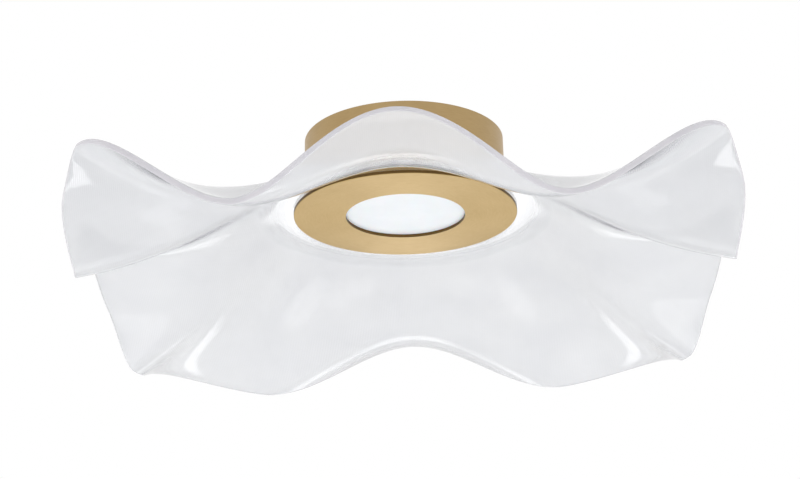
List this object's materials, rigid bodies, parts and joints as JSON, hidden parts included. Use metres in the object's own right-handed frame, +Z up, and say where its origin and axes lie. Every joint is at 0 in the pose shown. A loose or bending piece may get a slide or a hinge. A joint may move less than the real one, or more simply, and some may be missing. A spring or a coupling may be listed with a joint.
{
  "type": "led ceiling light",
  "caption": "Ceiling light: a round brass drum holds a waved clear sheet with a brass trim ring and an opal disc under it; lights shine down and into the sheet's edge.",
  "frame": {"origin": "on the lamp's axis, in the plane of the ceiling", "axes": "+Z up into the ceiling, -Y towards the front lobe of the sheet, X across"},
  "size_m": [0.57, 0.601, 0.1747],
  "materials": {
    "brushed_brass": "brushed, lacquered",
    "brass_plain": "plain",
    "zinc_steel": "zinc plated",
    "clear_acrylic": "clear, polished",
    "opal": "opal white",
    "silicone": "matte",
    "hub_aluminium": "turned",
    "pan_white": "white powder coat",
    "board_white": "white solder mask",
    "board_green": "green solder mask",
    "led_body": "phosphor",
    "case_white": "moulded",
    "nylon": "moulded",
    "ferrite": "taped",
    "capacitor_sleeve": "shrink sleeve",
    "lead_brown": "insulation",
    "lead_green": "insulation",
    "lead_red": "insulation",
    "black_rubber": "matte"
  },
  "bodies": {
    "crossbar": {"ceiling_bracket": "zinc_steel", "bracket_earth_screw": "brass_plain"},
    "lamp": {"drum_housing": "brushed_brass", "side_screw_bushes": "brushed_brass", "upper_gasket": "silicone", "lower_gasket": "silicone", "trim_ring": "brushed_brass", "ring_washers": "zinc_steel", "ring_nuts": "zinc_steel", "light_sheet": "clear_acrylic", "light_hub": "hub_aluminium", "edge_led_strip": "board_white", "edge_leds": "led_body", "hub_screws": "zinc_steel", "opal_disc": "opal", "lamp_pan": "pan_white", "centre_led_board": "board_white", "centre_leds": "led_body", "led_board_screws": "zinc_steel", "driver_base": "case_white", "driver_lid": "case_white", "driver_board": "board_green", "driver_transformer": "ferrite", "driver_capacitors": "capacitor_sleeve", "driver_screws": "zinc_steel", "terminal_block": "nylon", "terminal_screws": "zinc_steel", "terminal_block_screws": "zinc_steel", "earth_tag": "brass_plain", "pan_earth_screw": "brass_plain", "mains_leads": "lead_brown", "earth_lead": "lead_green", "centre_led_leads": "lead_red", "edge_led_leads": "lead_red", "pan_grommets": "black_rubber", "cable_clamp": "nylon", "cable_clamp_screws": "zinc_steel"},
    "set_screw_left": {"side_screw_left": "brass_plain"},
    "set_screw_right": {"side_screw_right": "brass_plain"}
  },
  "joints": [
    {"name": "lamp_drop", "type": "slide", "parent": "crossbar", "child": "lamp", "axis": [0, 0, -1], "range_m": [0, 0.03]},
    {"name": "left_screw_travel", "type": "slide", "parent": "lamp", "child": "set_screw_left", "axis": [-1, 0, 0], "range_m": [0, 0.003]},
    {"name": "right_screw_travel", "type": "slide", "parent": "lamp", "child": "set_screw_right", "axis": [1, 0, 0], "range_m": [0, 0.003]}
  ]
}
